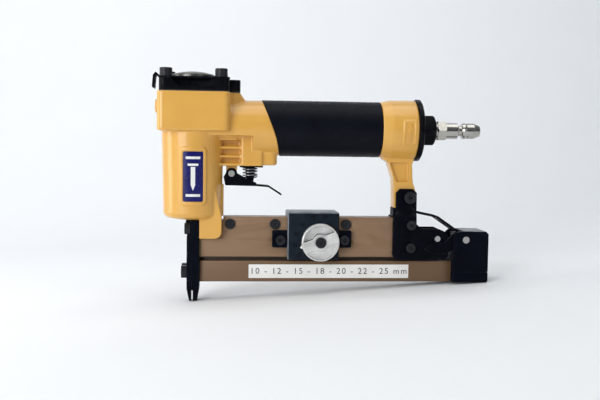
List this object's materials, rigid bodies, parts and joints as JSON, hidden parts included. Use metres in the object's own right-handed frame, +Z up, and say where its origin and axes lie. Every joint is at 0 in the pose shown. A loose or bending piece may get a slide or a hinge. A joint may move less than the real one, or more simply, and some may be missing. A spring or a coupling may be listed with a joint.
{
  "type": "pneumatic pin nailer",
  "caption": "Compact air-driven pin nailer with a barrel body, rubber grip, side-loading sliding magazine, pin-length dial and quick-connect air plug.",
  "frame": {"origin": "where the pin leaves the nose, in the middle plane, at the tip of the nose plates", "axes": "+Z up the driver axis towards the cylinder cap, +X back along the magazine and handle towards the air plug, -Y towards the side with the dial and badge"},
  "size_m": [0.2515, 0.052, 0.1711],
  "materials": {
    "yellow_paint": "yellow gloss enamel on die-cast aluminium",
    "black_aluminium": "black enamel, semi-gloss, on cast aluminium",
    "black_steel": "black oxide, satin",
    "brown_aluminium": "brown anodised, satin",
    "bright_steel": "bright nickel plate",
    "dial_metal": "nickel plated, brushed",
    "tool_steel": "ground tool steel",
    "spring_steel": "oiled spring wire",
    "bare_aluminium": "machined",
    "grip_rubber": "pebbled moulded rubber",
    "seal_rubber": "smooth nitrile rubber",
    "label_white": "printed label stock",
    "badge_blue": "domed gloss badge"
  },
  "bodies": {
    "body": {"body_casting": "yellow_paint", "badge_plate": "badge_blue", "cap_gasket": "seal_rubber", "cylinder_cap": "black_aluminium", "exhaust_deflector": "black_steel", "exhaust_dome": "bright_steel", "cap_screws": "black_steel", "cap_washers": "black_steel", "head_valve_spring": "spring_steel", "cylinder_sleeve": "bare_aluminium", "sleeve_seals": "seal_rubber", "bumper": "seal_rubber", "trigger_pin": "bright_steel", "valve_guide": "black_aluminium", "trigger_spring": "spring_steel", "grip_sleeve": "grip_rubber", "inlet_end_cap": "black_aluminium", "end_cap_seal": "seal_rubber", "air_plug": "bright_steel", "nose_front_plate": "black_steel", "nose_rear_plate": "black_steel", "nose_screws_upper": "black_steel", "nose_screws_lower": "black_steel", "upper_rail": "brown_aluminium", "rail_screws": "black_steel", "dial_block": "black_aluminium", "ear_screws": "black_steel", "leg_spacer": "black_aluminium", "rear_bracket": "black_steel", "leg_screws": "black_steel", "bracket_screws": "black_steel", "latch_pin": "bright_steel"},
    "head_valve": {"head_valve": "bare_aluminium", "head_valve_seal": "seal_rubber"},
    "piston": {"piston": "bare_aluminium", "piston_ring": "seal_rubber", "driver_blade": "tool_steel", "driver_pin": "tool_steel"},
    "trigger": {"trigger": "black_steel"},
    "valve_stem": {"valve_stem": "black_steel", "stem_seal": "seal_rubber"},
    "magazine": {"lower_rail": "brown_aluminium", "rail_label": "label_white", "end_block": "black_aluminium", "latch_pivot": "bright_steel", "pusher_rod": "tool_steel", "pusher_spring": "spring_steel", "latch_spring": "spring_steel"},
    "pusher": {"pusher": "tool_steel"},
    "latch": {"latch_lever": "black_steel"},
    "dial": {"dial": "dial_metal", "dial_shaft": "dial_metal", "dial_screw": "black_steel"},
    "pin_guide": {"pin_length_guide": "tool_steel"}
  },
  "joints": [
    {"name": "piston_stroke", "type": "slide", "parent": "body", "child": "piston", "axis": [0, 0, -1], "range_m": [0, 0.053]},
    {"name": "head_valve_lift", "type": "slide", "parent": "body", "child": "head_valve", "axis": [0, 0, 1], "range_m": [0, 0.003], "stiffness_N_per_m": 900, "springref_m": -0.004, "deforming": ["head_valve_spring"]},
    {"name": "trigger_pull", "type": "hinge", "parent": "body", "child": "trigger", "pos_m": [0.0287, 0, 0.0955], "axis": [0, -1, 0], "range_deg": [0, 10], "stiffness_Nm_per_rad": 0.6, "springref_deg": -6.88},
    {"name": "valve_stem_lift", "type": "slide", "parent": "body", "child": "valve_stem", "axis": [0, 0, 1], "range_m": [0, 0.00233], "deforming": ["trigger_spring"]},
    {"name": "magazine_slide", "type": "slide", "parent": "body", "child": "magazine", "axis": [1, 0, 0], "range_m": [0, 0.148]},
    {"name": "pusher_travel", "type": "slide", "parent": "magazine", "child": "pusher", "axis": [1, 0, 0], "range_m": [0, 0.12], "stiffness_N_per_m": 12, "springref_m": -0.08, "deforming": ["pusher_spring"]},
    {"name": "latch_press", "type": "hinge", "parent": "magazine", "child": "latch", "pos_m": [0.2048, 0, 0.0476], "axis": [0, -1, 0], "range_deg": [0, 4.5], "stiffness_Nm_per_rad": 0.5, "springref_deg": -11.46, "deforming": ["latch_spring"]},
    {"name": "dial_turn", "type": "hinge", "parent": "body", "child": "dial", "pos_m": [0.0945, 0, 0.0456], "axis": [0, 1, 0], "range_deg": [-15, 116]},
    {"name": "guide_lift", "type": "slide", "parent": "body", "child": "pin_guide", "axis": [0, 0, 1], "range_m": [-0.00146, 0.0113]}
  ],
  "couplings": [
    {"joint": "trigger_pull", "follows": "valve_stem_lift", "rad_per_m": 74.6},
    {"joint": "dial_turn", "follows": "guide_lift", "rad_per_m": 178.57}
  ]
}
